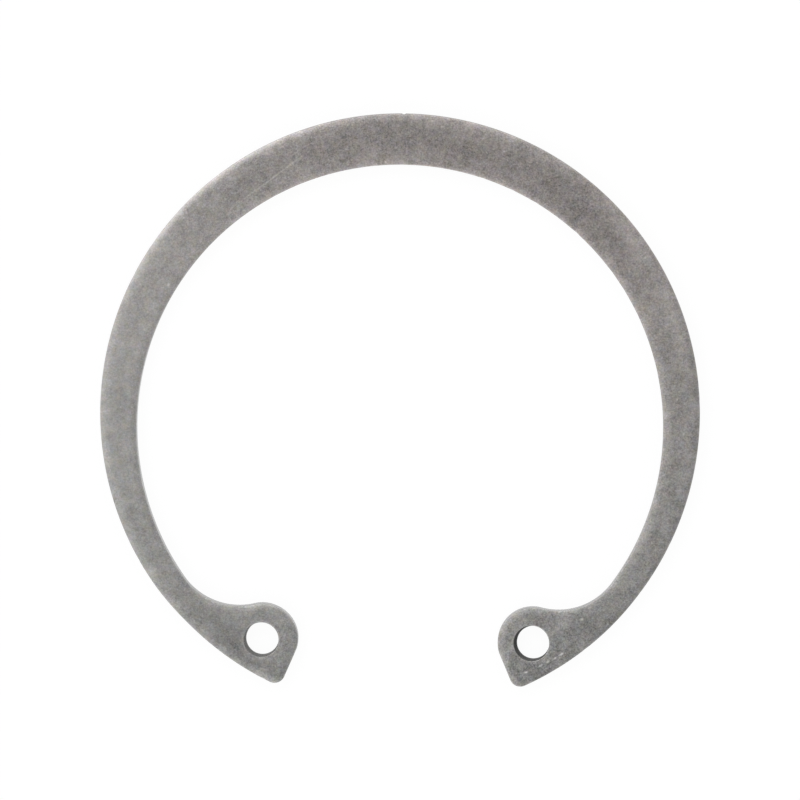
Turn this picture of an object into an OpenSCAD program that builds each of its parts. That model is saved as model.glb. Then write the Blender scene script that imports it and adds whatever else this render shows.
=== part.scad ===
// Internal retaining ring with two plier lugs, stamped from spring steel strip, for a 52 mm bore.
// It lies flat. The gap between the lugs faces -Y and the face with the rolled edges looks up, +Z.
// Origin: centre of the outer circle, at half the thickness.

/* [Ring] */
// Outside diameter with the ring free
outer_d = 56.2; // [54:0.1:60]
// Thickness of the strip
thickness = 2; // [1.6:0.05:2.5]
// Radial width of the ring opposite its gap
back_width = 4.77; // [4.2:0.01:5.2]
// How far the inner circle's centre lies from the outer one's, towards the gap
inner_shift = 1.36; // [1:0.01:1.7]

/* [Lugs] */
// Half of the gap between the two end faces, as an angle at the ring's centre
gap_half_angle = 23.2; // [21:0.1:27]
// Distance of a plier hole from the ring's centre
hole_pitch = 24.87; // [24.6:0.01:25.1]
// Diameter of a plier hole
hole_d = 3.13; // [2.5:0.01:3.4]
// Radius of the round of a lug about its hole
lug_radius = 3.31; // [3.1:0.01:3.6]
// Radius of the hollow that leads from the lug into the inner edge
hollow_radius = 6.2; // [5:0.1:8]
// Radius of the outer corner of an end
corner_radius = 1; // [0.7:0.05:1.4]

/* [Edges] */
// Width of the edge that the die rolled over, on the upper face
roll_width = 0.6; // [0.4:0.01:0.65]
// Depth of that rolled edge down the wall
roll_depth = 0.25; // [0.2:0.01:0.32]
// Width of the rolled rim of a plier hole
rim_width = 0.28; // [0.2:0.01:0.4]
// Depth of that rim down the hole
rim_depth = 0.18; // [0.12:0.01:0.25]
// Width and depth of the break that tumbling leaves along the underside
break_width = 0.1; // [0.06:0.01:0.15]

/* [Locating nick] */
// Width of the V nick in the outer edge, opposite the gap
nick_width = 0.36; // [0.2:0.02:0.6]
// Depth of the V nick
nick_depth = 0.17; // [0.1:0.01:0.3]

/* [Hidden] */
$fn = 72;

// Angle between a rolled edge and the face that it leaves
roll_start = 6;
// How far a round runs into its neighbour. They meet in a crease of a few degrees, as in the die.
lap = 0.02;
// Reach of shapes that only have to end beyond the metal
past = 1;
past_lug = 2 * lug_radius;
past_ring = outer_d;

outer_r = outer_d / 2;
inner_r = outer_r - back_width + inner_shift;

// The outline of the right lug is a chain of arcs. These are their centres.
// An angle is taken from the gap's centre line, and grows to the right.
function place(radius, angle) = [radius * sin(angle), -radius * cos(angle)];
function angle_of(p) = atan2(p.x, -p.y);
function flipped(p) = [-p.x, p.y];

inner_centre = [0, -inner_shift];
hole_angle = gap_half_angle + asin((lug_radius - lap) / hole_pitch);
hole_centre = place(hole_pitch, hole_angle);

// The hollow runs into the inner circle from inside and into the lug's round from outside.
// Its centre is the third corner of a triangle whose sides are known.
to_hollow = inner_r - hollow_radius + lap;
lug_to_hollow = lug_radius + hollow_radius - lap;
to_hole = norm(hole_centre - inner_centre);
hollow_turn = acos((to_hole ^ 2 + to_hollow ^ 2 - lug_to_hollow ^ 2) / (2 * to_hole * to_hollow));
hollow_out = place(1, angle_of(hole_centre - inner_centre) + hollow_turn);
hollow_centre = inner_centre + to_hollow * hollow_out;

// The corner runs into the end face and the outer circle, both from inside.
to_corner = outer_r - corner_radius + lap;
corner_out = place(1, gap_half_angle + asin((corner_radius - lap) / to_corner));
corner_centre = to_corner * corner_out;

// Ends of the lines on which the windows below open
into_gap = -[cos(gap_half_angle), sin(gap_half_angle)];
hollow_far = hollow_centre + past_ring * hollow_out;
hole_far = hole_centre + past_lug * into_gap;
hole_back = hole_centre - past_lug * into_gap;
corner_side = corner_centre + past_lug * into_gap;
corner_far = corner_centre + past_lug * corner_out;

// What rolling takes off the upper corner of a wall. The wall stands on x = 0, with the metal at
// x > 0 and its upper face at y = 0. The curve leaves the face at roll_start and ends in the wall.
module rolled_off(width, depth) {
  slope = atan(depth / width);
  radius = norm([width, depth]) / (2 * sin(slope - roll_start));
  centre = [width + radius * sin(roll_start), -radius * cos(roll_start)];
  difference() {
    translate([-past, centre.y])
      square([past + centre.x, past - centre.y]);
    translate(centre)
      circle(r = radius);
  }
}

// Everything that the edges lose from that wall, from its upper to its lower face
module edge_loss(width, depth) {
  translate([0, thickness / 2])
    rolled_off(width, depth);
  translate([0, -thickness / 2])
    polygon([[-past, -past], [break_width + past, -past], [-past, break_width + past]]);
}

// A round plate of the ring's thickness, with its outer edge rolled
module disc(radius)
  rotate_extrude()
    difference() {
      translate([0, -thickness / 2])
        square([radius, thickness]);
      translate([radius, 0])
        mirror([1, 0])
          edge_loss(roll_width, roll_depth);
    }

// A wide plate with a round opening whose edge is rolled
module opened_plate(radius, width, depth)
  rotate_extrude()
    difference() {
      translate([radius, -thickness / 2])
        square([past_ring, thickness]);
      translate([radius, 0])
        edge_loss(width, depth);
    }

// A wide plate that ends at the right end face
module end_plate()
  rotate([90, 0, gap_half_angle])
    linear_extrude(past_ring)
      difference() {
        translate([0, -thickness / 2])
          square([past_ring, thickness]);
        edge_loss(roll_width, roll_depth);
      }

// A straight-sided window that picks out one stretch of the ring
module window(points)
  linear_extrude(thickness + 2 * past, center = true)
    polygon(points);

// From inside one lug round the back into the other
module bow()
  difference() {
    intersection() {
      disc(outer_r);
      translate(inner_centre)
        opened_plate(inner_r, roll_width, roll_depth);
    }
    window([[0, 0], place(past_ring, hole_angle), place(past_ring, -hole_angle)]);
  }

// The hollow, with the metal outside it
module hollow_stretch()
  intersection() {
    disc(outer_r);
    translate(hollow_centre)
      opened_plate(hollow_radius, roll_width, roll_depth);
    window([hollow_centre, hole_centre, corner_centre, corner_far, hollow_far]);
  }

// The half of the lug's round that faces the ring's centre
module lug_round()
  intersection() {
    intersection() {
      translate(hole_centre)
        disc(lug_radius);
      window([hole_far, hole_centre, hole_back, hollow_centre, hollow_centre + hole_far - hole_centre]);
    }
    end_plate();
  }

// The metal behind the end face
module end_stretch()
  intersection() {
    end_plate();
    window([hole_centre, hole_far, corner_side, corner_centre]);
  }

// The outer corner of the end
module end_corner()
  intersection() {
    intersection() {
      translate(corner_centre)
        disc(corner_radius);
      window([corner_centre, corner_side, corner_side + corner_far - corner_centre, corner_far]);
    }
    disc(outer_r);
    end_plate();
  }

module lug() {
  hollow_stretch();
  lug_round();
  end_stretch();
  end_corner();
}

module retaining_ring()
  color([0.55, 0.54, 0.52])
    difference() {
      intersection() {
        union() {
          bow();
          lug();
          mirror([1, 0, 0])
            lug();
        }
        translate(hole_centre)
          opened_plate(hole_d / 2, rim_width, rim_depth);
        translate(flipped(hole_centre))
          opened_plate(hole_d / 2, rim_width, rim_depth);
      }
      translate([0, outer_r])
        window([[0, -nick_depth], [nick_width, nick_depth], [-nick_width, nick_depth]]);
    }

retaining_ring();
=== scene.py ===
# Retaining ring for a 52 mm bore: stamped spring steel, tumbled to a dull grey, lying on a white table.
# Blender 4.5. Sizes are in millimetres until a mesh is made, then in metres.
import math

import bmesh
import bpy
import numpy as np
from mathutils import Matrix, Vector
from mathutils.geometry import tessellate_polygon


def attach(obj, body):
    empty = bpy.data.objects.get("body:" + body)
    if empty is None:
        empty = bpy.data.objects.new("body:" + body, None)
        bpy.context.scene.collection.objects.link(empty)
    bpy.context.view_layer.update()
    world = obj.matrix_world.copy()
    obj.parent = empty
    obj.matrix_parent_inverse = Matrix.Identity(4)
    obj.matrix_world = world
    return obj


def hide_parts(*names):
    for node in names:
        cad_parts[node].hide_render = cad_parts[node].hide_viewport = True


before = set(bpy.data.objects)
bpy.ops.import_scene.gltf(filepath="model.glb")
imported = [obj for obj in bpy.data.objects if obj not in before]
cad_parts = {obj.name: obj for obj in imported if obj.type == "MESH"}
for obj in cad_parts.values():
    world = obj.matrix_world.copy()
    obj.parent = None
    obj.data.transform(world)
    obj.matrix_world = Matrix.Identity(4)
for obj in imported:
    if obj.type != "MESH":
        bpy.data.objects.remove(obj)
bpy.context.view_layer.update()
print("frame loaded")

mm = 0.001

# The ring: the CAD model's sizes, with the outer radius 6 micrometres less so that worn metal stays
# inside the CAD's box, and how its edges and face have worn
ring = {
    "outerRadius": 28.094,
    "innerRadius": 24.69,
    "innerShift": 1.36,          # how far the inner circle sits towards the gap
    "halfThickness": 1.0,
    "gapHalfAngle": 23.2,
    "holePitch": 24.87,
    "holeRadius": 1.565,
    "lugRadius": 3.31,
    "lugTrim": 0.02,             # what the end face cuts off the lug's round
    "hollowRadius": 6.2,
    "cornerRadius": 1.0,
    "nickWidth": 0.36,
    "nickDepth": 0.17,
    "nickReach": 1.0,            # how far in from the outer circle the nick is looked for
    "shoulderWidth": 1.0,        # how far in from the outline the rolled edge starts
    "shoulderDepth": 0.122,
    "shoulderPower": 2.5,
    "cornerDepth": 0.045,        # round between the shoulder and the wall
    "rimWidth": 0.12,            # the same for a plier hole
    "rimDepth": 0.06,
    "holeTaper": 0.04,           # how much narrower a plier hole is at the underside
    "holeLean": ((0.09, -0.07), (0.07, -0.04)),   # how far its lower end sits aside, right hole first
    "holeDrag": ((-0.10, -0.03), (0.01, -0.06)),  # which way the punch dragged its rim
    "holeShade": (1.0, 0.45),    # painted shade on its wall: how dark it is
    "holeShadeLow": 0.4,         # share of that painted shade lost on the side towards the gap
    "outerWall": -0.5,           # finish of the other walls: below 0 smoother than the face, above 0 torn
    "outerWallReach": 0.08,      # how far a wall's finish reaches onto the face
    "holeWallReach": 0.03,
    "breakWidth": 0.1,           # quarter round along the underside
    "breakTurns": (30, 60, 90),  # degrees at which it has points
    "underNear": 1.2,            # distance from an edge that the underside is given
    "lugNudge": (0.045, 0.135),  # how far the lugs' outlines sit to the right of true, right lug first
    "nudgeFrom": 16.0,           # that grows from here towards the gap, over nudgeOver
    "nudgeOver": 5.0,
    # How finely it is built
    "spacing": 0.125,            # distance between points along the outline
    "nickShares": (0, 0.25, 0.5, 0.75, 1.0, 1.3),  # points from the nick's middle, in halves of its width
    "nickPast": 1.9,             # where the even spacing starts, in the same measure
    "smoothPasses": 3,           # rounds of smoothing of the outline's direction
    "denseStep": 12,             # every so many of an outline's dense points are measured from
    "bandWidth": 0.42,           # strip of the upper face that is built along the outline
    "rimBand": 0.42,             # and round a plier hole
    "bandRows": 13,              # rows of points across such a strip
    "bandCrowding": 1.9,         # how they crowd towards the edge: 1 is even
    "wallRows": 4,               # rows of points down a wall
    "wallLip": 0.02,             # how far below the corner the first of them is
    "acrossBow": 22,
    "acrossLug": 20,
    "seamTurn": 24.0,            # how far into the hollow the bow's grid reaches, in degrees
    "seamOuterAngle": -48.0,     # where that seam meets the outer circle
    "mergeDistance": 0.001,
}


# A point at a radius and an angle, both from a centre
def polar(centre, radius, degrees):
    a = np.radians(degrees)
    return np.stack([centre[0] + radius * np.cos(a), centre[1] + radius * np.sin(a)], axis=-1)


# Angle of a vector from +X, in degrees
def angleOf(v):
    return math.degrees(math.atan2(v[1], v[0]))


# Points at given shares of a polyline's length
def along(path, share):
    step = np.hypot(*np.diff(path, axis=0).T)
    run = np.concatenate([[0.0], np.cumsum(step)])
    at = np.asarray(share) * run[-1]
    return np.stack([np.interp(at, run, path[:, 0]), np.interp(at, run, path[:, 1])], axis=-1)


# The sum of the lengths of a polyline's steps
def pathLength(path):
    return float(np.hypot(*np.diff(path, axis=0).T).sum())


# Centres of the arcs on the right side. The hollow touches the inner circle and the lug's round,
# so its centre is the third corner of a triangle whose sides are sums and differences of radii.
def arcCentres(r):
    gap = math.radians(r["gapHalfAngle"])
    holeAngle = gap + math.asin((r["lugRadius"] - r["lugTrim"]) / r["holePitch"])
    hole = r["holePitch"] * np.array([math.sin(holeAngle), -math.cos(holeAngle)])
    inner = np.array([0.0, -r["innerShift"]])
    toHollow = r["innerRadius"] - r["hollowRadius"]
    lugToHollow = r["lugRadius"] + r["hollowRadius"]
    toHole = float(np.hypot(*(hole - inner)))
    turn = math.acos((toHole ** 2 + toHollow ** 2 - lugToHollow ** 2) / (2 * toHole * toHollow))
    outward = math.radians(angleOf(hole - inner)) + turn
    hollow = inner + toHollow * np.array([math.cos(outward), math.sin(outward)])
    toCorner = r["outerRadius"] - r["cornerRadius"]
    cornerAngle = gap + math.asin(r["cornerRadius"] / toCorner)
    corner = toCorner * np.array([math.sin(cornerAngle), -math.cos(cornerAngle)])
    return {"hole": hole, "inner": inner, "hollow": hollow, "corner": corner,
            "hollowOut": math.degrees(outward)}


# The right half of the outline in dense points, in three stretches: outer circle from the top to
# the seam, round the lug to the seam, and the inner edge from the top to the seam.
def halfOutline(r, c, dense=4000):
    gap = math.radians(r["gapHalfAngle"])
    faceDir = np.array([math.sin(gap), -math.cos(gap)])      # along the end face, outwards
    intoGap = np.array([-math.cos(gap), -math.sin(gap)])
    origin = np.zeros(2)
    seamOuter = r["seamOuterAngle"]
    outer = polar(origin, r["outerRadius"], np.linspace(90.0, seamOuter, dense))
    cornerOut = angleOf(c["corner"])
    faceAngle = angleOf(intoGap)
    toFace = r["lugRadius"] - r["lugTrim"]
    halfChord = math.sqrt(r["lugRadius"] ** 2 - toFace ** 2)
    faceEnd = c["hole"] + toFace * intoGap - halfChord * faceDir
    lugStart = angleOf(faceEnd - c["hole"])
    lugEnd = angleOf(c["hollow"] - c["hole"])
    hollowStart = angleOf(c["hole"] - c["hollow"])
    hollowSeam = c["hollowOut"] - r["seamTurn"]
    lug = np.concatenate([
        polar(origin, r["outerRadius"], np.linspace(seamOuter, cornerOut, dense)),
        polar(c["corner"], r["cornerRadius"],
              np.linspace(cornerOut, cornerOut + (faceAngle - cornerOut) % 360 - 360, dense)),
        np.linspace(polar(c["corner"], r["cornerRadius"], faceAngle), faceEnd, dense),
        polar(c["hole"], r["lugRadius"],
              np.linspace(lugStart, lugStart + (lugEnd - lugStart) % 360 - 360, dense)),
        polar(c["hollow"], r["hollowRadius"],
              np.linspace(hollowStart, hollowStart + (hollowSeam - hollowStart) % 360, dense)),
    ])
    inner = np.concatenate([
        polar(c["inner"], r["innerRadius"], np.linspace(90.0, c["hollowOut"], dense)),
        polar(c["hollow"], r["hollowRadius"], np.linspace(c["hollowOut"], hollowSeam, dense))[1:],
    ])
    return outer, lug, inner


# The same points with the lugs' outlines moved aside, by a smooth step from the bow to the gap
def nudged(points, r):
    t = np.clip((-points[:, 1] - r["nudgeFrom"]) / r["nudgeOver"], 0, 1)
    aside = np.where(points[:, 0] > 0, *r["lugNudge"]) * t * t * (3 - 2 * t)
    return points + np.stack([aside, 0 * t], axis=-1)


# Drop of the upper face at a distance from the outline: a shoulder that leaves the face gently, as
# a power of the way left to the outline, and a quarter round where it turns into the wall
def shoulderDrop(distance, r):
    gentle = r["shoulderDepth"] * np.clip(1 - distance / r["shoulderWidth"], 0, 1) ** r["shoulderPower"]
    inCorner = np.clip(1 - distance / r["cornerDepth"], 0, 1)
    return gentle + r["cornerDepth"] * (1 - np.sqrt(1 - inCorner ** 2))


# The same for a plier hole: one quarter round, flattened
def rimDrop(distance, r):
    inRim = np.clip(1 - distance / r["rimWidth"], 0, 1)
    return r["rimDepth"] * (1 - np.sqrt(1 - inRim ** 2))


# Profile of an edge from the upper face to the underside: offsets into the metal, heights, and
# distances from the edge, which on the wall is the nearer of its upper and lower one
def edgeProfile(r, bandWidth, drop, depth):
    top = bandWidth * np.linspace(1, 0, r["bandRows"]) ** r["bandCrowding"]
    wallTop = r["halfThickness"] - depth
    wallFoot = -r["halfThickness"] + r["breakWidth"]
    wallHeights = np.linspace(wallTop, wallFoot, r["wallRows"])
    wallHeights[0] -= r["wallLip"]
    turn = np.radians(r["breakTurns"])
    under = r["breakWidth"] * (1 - np.cos(turn))
    foot = wallFoot - r["breakWidth"] * np.sin(turn)
    offset = np.concatenate([top, np.zeros(r["wallRows"]), under])
    z = np.concatenate([r["halfThickness"] - drop(top, r), wallHeights, foot])
    below = np.minimum(wallTop - z, z + r["halfThickness"])
    near = np.where(np.arange(len(z)) < len(top), offset, below)
    near[-1] = r["underNear"]
    return offset, z, near


# Smooth noise between about -1 and 1: a sum of plane waves with seeded directions, lengths and phases
def waves(points, wavelength, seed, count, spread=(0.7, 1.5)):
    rng = np.random.default_rng(seed)
    turn = rng.uniform(0, 2 * np.pi, count)
    pitch = 2 * np.pi / (wavelength * rng.uniform(*spread, count))
    phase = rng.uniform(0, 2 * np.pi, count)
    k = np.stack([pitch * np.cos(turn), pitch * np.sin(turn)])
    return np.sin(points @ k + phase).sum(axis=-1) / math.sqrt(count)


# Noise brought to the range from 0 to 1, with its rare peaks held
def heldNoise(noise):
    return 0.5 + 0.25 * np.clip(noise, -2, 2)


# Shortest distance from each point to a dense row of points
def distanceTo(points, row, chunk=4000):
    flat = points.reshape(-1, 2)
    out = np.empty(len(flat))
    for start in range(0, len(flat), chunk):
        part = flat[start:start + chunk]
        gapX = part[:, 0:1] - row[None, :, 0]
        gapY = part[:, 1:2] - row[None, :, 1]
        out[start:start + chunk] = np.sqrt((gapX ** 2 + gapY ** 2).min(axis=1))
    return out.reshape(points.shape[:-1])


# Quads between the rows of a grid of points, numbered from first, and across its ends if it is closed
def gridFaces(rows, columns, first, closed=False):
    index = first + np.arange(rows * columns).reshape(rows, columns)
    if closed:
        index = np.concatenate([index, index[:, :1]], axis=1)
    quads = np.stack([index[:-1, :-1], index[:-1, 1:], index[1:, 1:], index[1:, :-1]], axis=-1)
    return quads.reshape(-1, 4)


# Straight lines from each point of one row to its partner in another, cut into equal steps
def ruled(start, end, steps):
    v = np.linspace(0, 1, steps + 1)[:, None, None]
    return start[None] * (1 - v) + end[None] * v


# What tumbling and use have done to the metal, in millimetres
wear = {
    "seed": 52,
    "waveHeight": 0.006,     # slow rise and fall of the face
    "waveLength": 5.0,
    "waveCount": 24,
    "hammerHeight": 0.002,   # the tumbled face, stone against stone
    "hammerLength": 0.9,
    "hammerCount": 40,
    "dentCount": 420,
    "dentReach": (22.0, 28.0),   # distance from the ring's centre
    "dentRadius": (0.10, 0.30),
    "dentDepth": (0.001, 0.007),
    "dingCount": 110,        # along the edges
    "dingLevel": (0.35, 0.85),   # height above the ring's middle
    "dingRadius": (0.08, 0.32),
    "dingDepth": (0.01, 0.05),
    "settleWidth": 0.12,     # waves, hammering and dents fade out over this distance from an edge
}


# How far the upper face lies below its level: slow waves, a hammered texture and round dents, each
# dent its depth times e to the minus square of distance over radius
def facePits(points, w):
    rng = np.random.default_rng(w["seed"])
    rise = heldNoise(waves(points, w["waveLength"], w["seed"] + 1, w["waveCount"]))
    hammer = heldNoise(waves(points, w["hammerLength"], w["seed"] + 2, w["hammerCount"]))
    pits = w["waveHeight"] * rise + w["hammerHeight"] * hammer
    angle = rng.uniform(0, 2 * np.pi, w["dentCount"])
    reach = rng.uniform(*w["dentReach"], w["dentCount"])
    radius = rng.uniform(*w["dentRadius"], w["dentCount"])
    depth = rng.uniform(*w["dentDepth"], w["dentCount"]) * radius / w["dentRadius"][1]
    centre = np.stack([reach * np.cos(angle), reach * np.sin(angle)], axis=-1)
    for place, size, deep in zip(centre, radius, depth):
        apart = ((points - place) ** 2).sum(axis=-1)
        pits = pits + deep * np.exp(-apart / size ** 2)
    return pits


# How far dings push the edge in: round knocks of the same form at seeded places along the outline
def edgeDings(band, height, w, loop):
    rng = np.random.default_rng(w["seed"] + 5)
    places = loop[rng.integers(0, len(loop), w["dingCount"])]
    level = rng.uniform(*w["dingLevel"], w["dingCount"])
    radius = rng.uniform(*w["dingRadius"], w["dingCount"])
    depth = rng.uniform(*w["dingDepth"], w["dingCount"]) * radius / w["dingRadius"][1]
    push = np.zeros(height.shape)
    for place, z, size, deep in zip(places, level, radius, depth):
        apart = ((band - place) ** 2).sum(axis=-1) + (height - z) ** 2
        push += deep * np.exp(-apart / size ** 2)
    return push


# Share of the pits at an offset from an edge: none on the edge or below half height, and all of
# them from settleWidth on
def settled(offset, z, w):
    return np.clip(offset / w["settleWidth"], 0, 1)[:, None] * (z > 0)[:, None]


# A wall's share at an offset from it, for its finish and, in a plier hole, its painted shade: 1 on the
# wall, 0 from its reach on
def wallShare(offset, reach):
    return np.clip((reach - offset) / reach, 0, 1)[:, None]


# The whole ring: grids across the upper face, profiles carried along the outline and round the
# plier holes, and a flat fill underneath
def buildRing(r, w):
    c = arcCentres(r)
    outerPath, lugPath, innerPath = halfOutline(r, c)
    mirror = np.array([-1.0, 1.0])

    # Shares of the path from the top to the seam, closer together at the nick
    length = pathLength(outerPath)
    half = r["nickWidth"] / 2
    fine = np.array(r["nickShares"]) * half
    coarse = np.linspace(r["nickPast"] * half, length, int(round(length / r["spacing"])))
    share = np.concatenate([fine, coarse]) / length
    outerHalf = along(outerPath, share)
    innerHalf = along(innerPath, share)
    outer = np.concatenate([outerHalf[:0:-1] * mirror, outerHalf])
    inner = np.concatenate([innerHalf[:0:-1] * mirror, innerHalf])
    lugSteps = int(round(pathLength(lugPath) / r["spacing"]))
    lug = along(lugPath, np.linspace(0, 1, lugSteps + 1))
    otherLug = lug[::-1] * mirror

    # The closed outline, clockwise, and the direction into the metal at each point
    loop = nudged(np.concatenate([outer, lug[1:], inner[::-1][1:], otherLug[1:-1]]), r)
    tangent = np.roll(loop, -1, axis=0) - np.roll(loop, 1, axis=0)
    tangent /= np.hypot(*tangent.T)[:, None]
    for _ in range(r["smoothPasses"]):
        tangent = np.roll(tangent, 1, axis=0) + 2 * tangent + np.roll(tangent, -1, axis=0)
        tangent /= np.hypot(*tangent.T)[:, None]
    inward = np.stack([tangent[:, 1], -tangent[:, 0]], axis=-1)

    # Where each stretch stands in the loop, with shared ends
    outerAt = np.arange(len(outer))
    lugAt = outerAt[-1] + np.arange(len(lug))
    innerAt = (lugAt[-1] + np.arange(len(inner)))[::-1]
    otherAt = np.concatenate([innerAt[0] + np.arange(len(lug) - 1), [0]])

    step = r["denseStep"]
    denseHalf = np.concatenate([outerPath[::step], lugPath[::step], innerPath[::-step]])
    dense = nudged(np.concatenate([denseHalf, denseHalf * mirror]), r)
    holes = [c["hole"], c["hole"] * mirror]

    # Height of the upper face, and the distance from its nearest edge
    def faceHeight(points):
        toEdge = distanceTo(points, dense)
        z = r["halfThickness"] - shoulderDrop(toEdge, r) - facePits(points, w)
        for hole in holes:
            toHole = np.hypot(*np.moveaxis(points - hole, -1, 0)) - r["holeRadius"]
            z = z - rimDrop(toHole, r)
            toEdge = np.minimum(toEdge, toHole)
        return z, toEdge

    parts, faces, nearEdge, onWall, count = [], [], [], [], 0

    def keep(points, z, near, wall, closed=False):
        nonlocal count
        rows, columns = points.shape[:2]
        parts.append(np.concatenate([points, z[..., None]], axis=-1).reshape(-1, 3))
        nearEdge.append(np.broadcast_to(near, z.shape).reshape(-1))
        onWall.append(np.broadcast_to(wall, z.shape).reshape(-1))
        faces.append(gridFaces(rows, columns, count, closed))
        count += rows * columns
        return np.arange(count - columns, count)

    # The upper face: the bow as one grid, and a grid round each plier hole
    edge = loop + inward * r["bandWidth"]
    bow = ruled(edge[innerAt], edge[outerAt], r["acrossBow"])
    keep(bow, *faceHeight(bow), 0.0)
    holeRings = []
    for at, hole, seam in ((lugAt, holes[0], bow[:, -1]), (otherAt, holes[1], bow[::-1, 0])):
        ringPoints = np.concatenate([edge[at], seam[1:-1]])
        toward = ringPoints - hole
        toward = toward / np.hypot(*toward.T)[:, None]
        rim = hole + (r["holeRadius"] + r["rimBand"]) * toward
        patch = ruled(rim, ringPoints, r["acrossLug"])
        keep(patch, *faceHeight(patch), 0.0, closed=True)
        holeRings.append((hole, toward))

    # The edge all round: the shoulder, the wall and the round underneath
    offset, z, near = edgeProfile(r, r["bandWidth"], shoulderDrop, r["shoulderDepth"] + r["cornerDepth"])
    band = loop[None] + inward[None] * offset[:, None, None]
    height = np.repeat(z[:, None], len(loop), axis=1)
    height = height - settled(offset, z, w) * facePits(band, w)
    height[0] = faceHeight(band[0])[0]
    atBack = band[..., 1] > r["outerRadius"] - r["nickReach"]
    vee = r["nickDepth"] * np.clip(1 - np.abs(band[..., 0]) / half, 0, 1) * atBack
    ding = edgeDings(band, height, w, loop) * (1 - offset / r["bandWidth"])[:, None]
    push = np.maximum(vee - offset[:, None], 0) + ding
    push[0] = 0
    push[-1] = 0
    band = band + inward[None] * push[..., None]
    wall = wallShare(offset, r["outerWallReach"]) * r["outerWall"]
    floorLoops = [keep(band, height, near[:, None], wall, closed=True)]

    # The plier holes
    leans, drags = np.array(r["holeLean"]), np.array(r["holeDrag"])
    for (hole, toward), lean, drag, dark in zip(holeRings, leans, drags, r["holeShade"]):
        offset, z, near = edgeProfile(r, r["rimBand"], rimDrop, r["rimDepth"])
        deep = np.clip((r["halfThickness"] - r["rimDepth"] - z) / (2 * r["halfThickness"]), 0, 1)
        dragged = ((1 - offset / r["rimBand"]) * (1 - deep))[:, None, None]
        bore = hole + toward * (r["holeRadius"] + offset - r["holeTaper"] * deep)[:, None, None]
        bore = bore + dragged * (drag + np.hypot(*drag) * toward) + deep[:, None, None] * lean
        height = np.repeat(z[:, None], len(toward), axis=1)
        height = height - settled(offset, z, w) * facePits(bore, w)
        height[0] = faceHeight(bore[0])[0]
        # Painted shade on the plier hole's wall, lighter on the side towards the gap; the material reads
        # it from onWall
        low = 1 - r["holeShadeLow"] * np.clip(-toward[:, 1], 0, 1)
        wall = wallShare(offset, r["holeWallReach"]) * dark * low
        floorLoops.append(keep(bore, height, near[:, None], wall, closed=True))

    # The underside is flat, so it is filled between those three loops
    points = np.concatenate(parts) * mm
    rows = [[Vector(p) for p in points[loopAt].tolist()] for loopAt in floorLoops]
    floorAt = np.concatenate(floorLoops)
    floor = floorAt[np.array(tessellate_polygon(rows))]

    quads = np.concatenate(faces)
    mesh = bpy.data.meshes.new("retaining_ring_worn")
    mesh.from_pydata(points, [], quads.tolist() + floor.tolist())
    smooth = np.arange(len(mesh.polygons)) < len(quads)
    mesh.polygons.foreach_set("use_smooth", smooth)
    for name, values in (("nearEdge", nearEdge), ("onWall", onWall)):
        mesh.attributes.new(name, "FLOAT", "POINT").data.foreach_set("value", np.concatenate(values))
    bm = bmesh.new()
    bm.from_mesh(mesh)
    bmesh.ops.remove_doubles(bm, verts=bm.verts, dist=r["mergeDistance"] * mm)
    bmesh.ops.recalc_face_normals(bm, faces=bm.faces)
    openEdges = sum(1 for e in bm.edges if not e.is_manifold)
    bm.to_mesh(mesh)
    bm.free()
    piece = bpy.data.objects.new("retaining_ring_worn", mesh)
    bpy.context.scene.collection.objects.link(piece)
    print("ring built:", len(mesh.vertices), "points,", openEdges, "open edges")
    return piece
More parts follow.
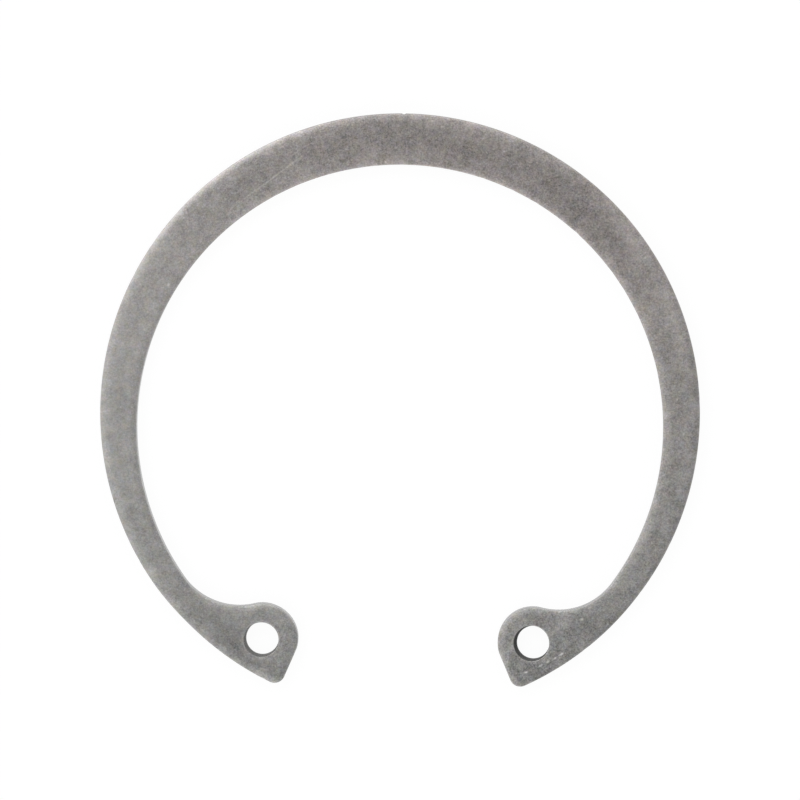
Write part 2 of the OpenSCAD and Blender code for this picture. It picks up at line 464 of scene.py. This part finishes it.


# Steel: a dull grey with clouds, a fine speckle and a faint hue, paler where edges have rubbed and where
# painted highlights lie on them, with painted light and shade in places and in the plier holes
steel = {
    "base": (0.203, 0.200, 0.194),
    "warmer": (0.010, -0.0045, -0.006),  # added at the upper right, in a spot given as the soft patches are
    "warmSide": (6.0, 16.0, 48.0, 44.0, 0, 1.0),
    "metallic": 1.0,
    "cloud": (0.16, 2.0, 0.6, 0.25),    # each: size in cells per mm, detail, roughness, strength
    "mottle": (0.75, 2.0, 0.8, 0.66),
    "speckle": (2.6, 2.0, 1.0, 0.68),
    "grain": (6.5, 1.0, 1.0, 1.4),
    "sparks": (0.85, 0.11, 0.55),       # bright specks: cells per mm, radius in cells, strength
    "hue": (1.6, 2.0, 0.9, 0.26),
    "hueShares": (1.0, 0.5, 1.6),       # of that strength, for red, green and blue
    "brushing": (0.22, 5.5, 0.20),      # cells per mm along and across, strength
    "brushTurn": 38.0,                  # degrees
    "brushNoise": (1.0, 2.0, 0.6),      # size in those cells, detail, roughness
    # Where the texture is fainter or stronger, given as the soft patches are
    "calm": (
        (-25.3, 2.0, 30.0, 14.0, 85, -0.28),
        (-16.0, -20.8, 10.0, 6.5, -42, -0.26),
        (13.0, -22.2, 7.5, 6.0, 30, 0.28),
    ),
    # Edges paler all round: partly rubbed, partly a painted highlight where the rolled edges catch the
    # light
    "rubAndSheenWidth": 2.0,                    # mm from an edge
    "rubAndSheenStrength": 0.36,
    "paintedEdgeHighlight": (-16.5, 22.5, 17.0, 10.0, 36, 0.55),  # painted highlight on the edges at the upper left, where the light falls on them
    "paintedEdgeHighlightWidth": 0.55,
    "lineWidth": 0.20,                  # the very edge, rubbed all round, with a painted highlight on it
    "lineStrength": 0.60,
    "wallShade": 0.30,                  # what a plier hole's wall keeps of the colour under its painted shade
    "roughness": (0.43, 0.50),          # where the speckle is dark and where it is pale
    "speckleRange": (0.3, 0.7),
    "tornRoughness": 0.40,              # added on a plier hole's wall
    "bumpHeight": 0.02,                 # mm
    "bumpStrength": 0.35,
    # Soft patches, partly real stains and partly painted light: centre, half length, half width in mm,
    # turn in degrees, change of tone
    "stainsAndPaintedLight": (
        # The large pale patch on the left arc is painted light falling from the left
        (-25.3, 5.8, 26.0, 14.0, 77, 0.19),
        (17.8, 17.0, 6.5, 3.8, -45, -0.14),
        (9.4, 22.9, 22.0, 5.0, -22, -0.13),
        (18.6, -18.6, 5.0, 4.0, 45, -0.18),
        (27.0, 1.5, 7.0, 2.6, 94, 0.07),
        (25.3, 9.6, 7.0, 2.6, 111, 0.20),
        (21.2, 17.2, 6.5, 2.6, 129, 0.21),
        (6.9, 25.8, 4.5, 3.0, -15, 0.06),
        (-23.8, 13.7, 6.0, 4.0, 60, 0.09),
        (-15.0, -21.3, 2.8, 2.4, 0, -0.11),
        (-4.5, 25.3, 7.5, 4.5, 8, -0.09),
        (-18.0, -20.5, 8.0, 5.0, -45, -0.14),
        (-13.5, -23.0, 5.5, 5.0, -20, -0.22),
        (12.8, -23.9, 5.5, 4.5, 25, -0.27),
        # Painted shade on the upper right of each plier hole's rim
        (14.0, -20.1, 1.6, 1.3, 135, -0.20),
        (-11.4, -20.0, 1.4, 1.0, 135, -0.18),
    ),
    # Small bright knocks and scratches, and painted highlights on the plier holes' rims, given in the
    # same way
    "marksAndRimHighlights": (
        # Painted highlights on the plier holes' rims
        (-12.75, -23.22, 1.25, 0.22, 0, 0.30),
        (-14.54, -21.36, 1.0, 0.20, 90, 0.22),
        (14.04, -22.67, 1.1, 0.22, 45, 0.25),
        # Knocks and scratches
        (-21.82, 11.79, 0.25, 0.18, 60, 0.75),
        (-22.33, 15.81, 0.28, 0.18, 30, 0.55),
        (-12.3, 21.85, 6.0, 0.14, 37, 0.45),
        (-9.6, 24.6, 2.6, 0.09, 33, 0.20),
        (15.45, -22.38, 0.42, 0.16, 29, 1.35),
        (14.85, -22.75, 0.34, 0.15, 32, 1.15),
        (14.2, -23.1, 0.34, 0.14, 25, 0.95),
        (13.5, -23.5, 0.40, 0.14, 28, 0.85),
        (12.16, -24.12, 0.32, 0.16, 20, 1.30),
        (17.34, -19.05, 0.22, 0.20, 0, 1.10),
        (15.6, 20.3, 1.1, 0.7, 45, 0.12),
        (25.95, 1.73, 0.28, 0.14, 80, 0.5),
        (24.71, -2.98, 0.25, 0.14, 80, 0.5),
    ),
}


# The tone is a sum of swings of noise about 1, scaled where the texture is calm, with spots for
# stains, marks, painted light and painted shade, and a share of the nearness to an edge for rubbing and
# painted highlights. The colour is the base times the tone.
def steelMaterial(s):
    material = bpy.data.materials.new("tumbled_spring_steel")
    material.use_nodes = True
    tree = material.node_tree
    shader = tree.nodes["Principled BSDF"]
    shader.inputs["Metallic"].default_value = s["metallic"]
    link = tree.links.new
    place = tree.nodes.new("ShaderNodeTexCoord").outputs["Object"]

    # One of the math node's operations on two values, each a number or another node's output
    def calculate(kind, first, second):
        node = tree.nodes.new("ShaderNodeMath")
        node.operation = kind
        for socket, value in zip(node.inputs, (first, second)):
            if isinstance(value, float):
                socket.default_value = value
            else:
                link(value, socket)
        return node.outputs[0]

    # The sum of such values
    def added(total, *values):
        for value in values:
            total = calculate("ADD", total, value)
        return total

    def vectorNode(kind):
        node = tree.nodes.new("ShaderNodeVectorMath")
        node.operation = kind
        return node

    # Object coordinates in millimetres, or centred, turned and stretched as given
    def mapped(location=(0, 0, 0), turn=0.0, scale=(mm, mm, mm)):
        node = tree.nodes.new("ShaderNodeMapping")
        node.vector_type = "TEXTURE"
        node.inputs["Location"].default_value = location
        node.inputs["Rotation"].default_value = (0, 0, math.radians(turn))
        node.inputs["Scale"].default_value = scale
        link(place, node.inputs["Vector"])
        return node.outputs[0]

    def noise(vector, size, detail, rough, output="Fac"):
        node = tree.nodes.new("ShaderNodeTexNoise")
        node.inputs["Scale"].default_value = size
        node.inputs["Detail"].default_value = detail
        node.inputs["Roughness"].default_value = rough
        link(vector, node.inputs["Vector"])
        return node.outputs[output]

    # A value carried from one range to another, and held at its ends
    def ranged(value, fromLow, fromHigh, toLow, toHigh, ease="LINEAR"):
        node = tree.nodes.new("ShaderNodeMapRange")
        node.interpolation_type = ease
        for name, number in zip(("From Min", "From Max", "To Min", "To Max"),
                                (fromLow, fromHigh, toLow, toHigh)):
            node.inputs[name].default_value = number
        link(value, node.inputs["Value"])
        return node.outputs[0]

    # Strength times the noise's distance from its middle value
    def swing(value, strength):
        return calculate("MULTIPLY", calculate("SUBTRACT", value, 0.5), strength)

    # A soft spot: its strength at the centre of an ellipse, 0 from its rim on
    def spot(x, y, halfLength, halfWidth, turn, strength):
        vector = mapped((x * mm, y * mm, 0), turn, (halfLength * mm, halfWidth * mm, 1.0))
        size = vectorNode("LENGTH")
        link(vector, size.inputs[0])
        return ranged(size.outputs["Value"], 1.0, 0.0, 0.0, strength, "SMOOTHSTEP")

    # Bright specks: small discs at the middle of some cells of a Voronoi pattern
    def sparks(size, radius, strength):
        cells = tree.nodes.new("ShaderNodeTexVoronoi")
        cells.inputs["Scale"].default_value = size
        link(metal, cells.inputs["Vector"])
        return ranged(cells.outputs["Distance"], radius, 0.0, 0.0, strength)

    def attribute(name):
        node = tree.nodes.new("ShaderNodeAttribute")
        node.attribute_name = name
        return node.outputs["Fac"]

    # Texture, calmer in places, then clouds, specks, stains and marks, and spots of painted light and
    # shade
    metal = mapped()
    fine = noise(metal, *s["speckle"][:3])
    mottle = noise(metal, *s["mottle"][:3])
    along, across, brushStrength = s["brushing"]
    brush = noise(mapped(turn=s["brushTurn"], scale=(mm / along, mm / across, mm)), *s["brushNoise"])
    grain = noise(metal, *s["grain"][:3])
    tone = added(swing(fine, s["speckle"][3]), swing(grain, s["grain"][3]),
                 swing(mottle, s["mottle"][3]), swing(brush, brushStrength))
    liveliness = added(1.0, *(spot(*calm) for calm in s["calm"]))
    tone = calculate("MULTIPLY", tone, liveliness)
    clouds = swing(noise(metal, *s["cloud"][:3]), s["cloud"][3])
    spots = [spot(*given) for given in s["stainsAndPaintedLight"] + s["marksAndRimHighlights"]]
    tone = added(tone, clouds, 1.0, sparks(*s["sparks"]), *spots)

    # Edges: rubbed paler and given a painted highlight, brightest in the painted highlight at the upper
    # left, and the plier holes' walls darkened by painted shade
    nearEdge = attribute("nearEdge")
    rubAndSheen = ranged(nearEdge, s["rubAndSheenWidth"], 0.0, 0.0, s["rubAndSheenStrength"])
    edgeHighlight = ranged(nearEdge, s["paintedEdgeHighlightWidth"], 0.0, 0.0, 1.0)
    thin = ranged(nearEdge, s["lineWidth"], 0.0, 0.0, 1.0)
    thin = calculate("MULTIPLY", calculate("MULTIPLY", thin, thin), s["lineStrength"])
    tone = added(tone, calculate("MULTIPLY", rubAndSheen, mottle),
                 calculate("MULTIPLY", edgeHighlight, spot(*s["paintedEdgeHighlight"])), thin)
    onWall = attribute("onWall")
    tone = calculate("MULTIPLY", tone, ranged(onWall, 0.0, 1.0, 1.0, s["wallShade"]))

    # Colour: the base, swung by noise in each channel and warmed on one side, times the tone
    hue = vectorNode("MULTIPLY_ADD")
    link(noise(metal, *s["hue"][:3], "Color"), hue.inputs[0])
    spread = [s["hue"][3] * share for share in s["hueShares"]]
    hue.inputs[1].default_value = [width * c for width, c in zip(spread, s["base"])]
    hue.inputs[2].default_value = [(1 - width / 2) * c for width, c in zip(spread, s["base"])]
    warm = vectorNode("SCALE")
    warm.inputs[0].default_value = s["warmer"]
    link(spot(*s["warmSide"]), warm.inputs["Scale"])
    warmed = vectorNode("ADD")
    link(hue.outputs[0], warmed.inputs[0])
    link(warm.outputs[0], warmed.inputs[1])
    colour = vectorNode("SCALE")
    link(warmed.outputs[0], colour.inputs[0])
    link(tone, colour.inputs["Scale"])
    link(colour.outputs[0], shader.inputs["Base Color"])

    # Finish: the pale speckle is a little rougher, and the torn walls are rougher still
    speckled = ranged(fine, *s["speckleRange"], *s["roughness"])
    torn = calculate("MULTIPLY", onWall, s["tornRoughness"])
    link(added(speckled, torn), shader.inputs["Roughness"])
    bump = tree.nodes.new("ShaderNodeBump")
    bump.inputs["Strength"].default_value = s["bumpStrength"]
    bump.inputs["Distance"].default_value = s["bumpHeight"] * mm
    link(added(fine, brush), bump.inputs["Height"])
    link(bump.outputs[0], shader.inputs["Normal"])
    return material


piece = buildRing(ring, wear)
piece.data.materials.append(steelMaterial(steel))
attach(piece, "root")
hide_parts("retaining_ring")
print("steel laid on")

# Table and light, with lengths in metres
studio = {
    "tableHalf": 1.2,
    "tableColour": (0.9, 0.9, 0.9, 1),
    "tableGlow": 1.0,        # what the camera and the metal see of the table, where 1 is white
    "tableShade": 0.05,      # share of the table's own shading left in that
    "worldColour": (1, 1, 1, 1),
    "worldStrength": 0.80,
    "windows": {             # degrees from +X, degrees up, width and power in watts of each lamp
        "upper": (78.0, 55.0, 0.26, 0.49),
        "upper_left": (125.0, 55.0, 0.26, 0.64),
        "left": (170.0, 55.0, 0.26, 0.36),
        "lower_left": (225.0, 55.0, 0.26, 0.31),
        "lower": (258.0, 55.0, 0.26, 0.43),
    },
    "lampDistance": 0.6,
}

# Camera, with lengths in metres unless stated
camera = {
    "tilt": 3.7,             # degrees off straight down
    "towards": 18.9,         # which way it leans: from +Y towards +X
    "roll": 0.76,
    "distance": 0.70,
    "framed": 75.02,         # millimetres across the picture
    "aim": (-0.018, 1.240, 0.0),  # millimetres, in the middle of the picture
    "sensor": 36.0,          # millimetres
    "clip": (0.01, 10.0),
}


# A square at the height of the ring's underside. The camera and the metal see it as an even white
# with a trace of shade, and all other light meets plain matt white.
def layTable(s):
    size = s["tableHalf"]
    mesh = bpy.data.meshes.new("table")
    z = -ring["halfThickness"] * mm
    mesh.from_pydata([(-size, -size, z), (size, -size, z), (size, size, z), (-size, size, z)],
                     [], [(0, 1, 2, 3)])
    table = bpy.data.objects.new("table", mesh)
    bpy.context.scene.collection.objects.link(table)
    material = bpy.data.materials.new("white_table")
    material.use_nodes = True
    tree = material.node_tree
    tree.nodes.clear()
    node = tree.nodes.new
    link = tree.links.new
    lit = node("ShaderNodeBsdfDiffuse")
    lit.inputs["Color"].default_value = s["tableColour"]
    plain = node("ShaderNodeEmission")
    plain.inputs["Strength"].default_value = s["tableGlow"]
    path = node("ShaderNodeLightPath")
    seen = node("ShaderNodeMath")
    seen.operation = "MAXIMUM"
    link(path.outputs["Is Camera Ray"], seen.inputs[0])
    link(path.outputs["Is Glossy Ray"], seen.inputs[1])
    share = node("ShaderNodeMath")
    share.operation = "MULTIPLY"
    share.inputs[1].default_value = 1 - s["tableShade"]
    link(seen.outputs[0], share.inputs[0])
    mix = node("ShaderNodeMixShader")
    link(share.outputs[0], mix.inputs[0])
    link(lit.outputs[0], mix.inputs[1])
    link(plain.outputs[0], mix.inputs[2])
    link(mix.outputs[0], node("ShaderNodeOutputMaterial").inputs["Surface"])
    mesh.materials.append(material)


# A round lamp on a sphere about the origin, turned to face it
def areaLight(name, angle, height, distance, size, power):
    light = bpy.data.lights.new(name, "AREA")
    light.shape = "DISK"
    light.size = size
    light.energy = power
    lamp = bpy.data.objects.new(name, light)
    a, h = math.radians(angle), math.radians(height)
    place = distance * Vector((math.cos(a) * math.cos(h), math.sin(a) * math.cos(h), math.sin(h)))
    lamp.location = place
    lamp.rotation_euler = (-place).to_track_quat("-Z", "Y").to_euler()
    bpy.context.scene.collection.objects.link(lamp)


# An even white world, and the lamps
def lightStage(s):
    world = bpy.data.worlds.new("studio")
    bpy.context.scene.world = world
    world.use_nodes = True
    background = world.node_tree.nodes["Background"]
    background.inputs["Color"].default_value = s["worldColour"]
    background.inputs["Strength"].default_value = s["worldStrength"]
    for name, (angle, height, size, power) in s["windows"].items():
        areaLight(name, angle, height, s["lampDistance"], size, power)


# The camera looks down at aim from its distance, and sees a width of framed there
def placeCamera(s):
    data = bpy.data.cameras.new("camera")
    data.sensor_width = s["sensor"]
    data.lens = s["sensor"] * s["distance"] / (s["framed"] * mm)
    data.clip_start, data.clip_end = s["clip"]
    t, a, roll = (math.radians(s[k]) for k in ("tilt", "towards", "roll"))
    back = Vector((math.sin(t) * math.sin(a), math.sin(t) * math.cos(a), math.cos(t)))
    up = Vector((-math.sin(roll), math.cos(roll), 0.0))
    right = up.cross(back).normalized()
    up = back.cross(right)
    eye = bpy.data.objects.new("camera", data)
    aim = Vector(s["aim"]) * mm
    turned = Matrix((right, up, back)).transposed().to_4x4()
    eye.matrix_world = Matrix.Translation(aim + back * s["distance"]) @ turned
    bpy.context.scene.collection.objects.link(eye)
    bpy.context.scene.camera = eye


layTable(studio)
lightStage(studio)
placeCamera(camera)
bpy.context.scene.view_settings.view_transform = "Standard"
print("stage set")
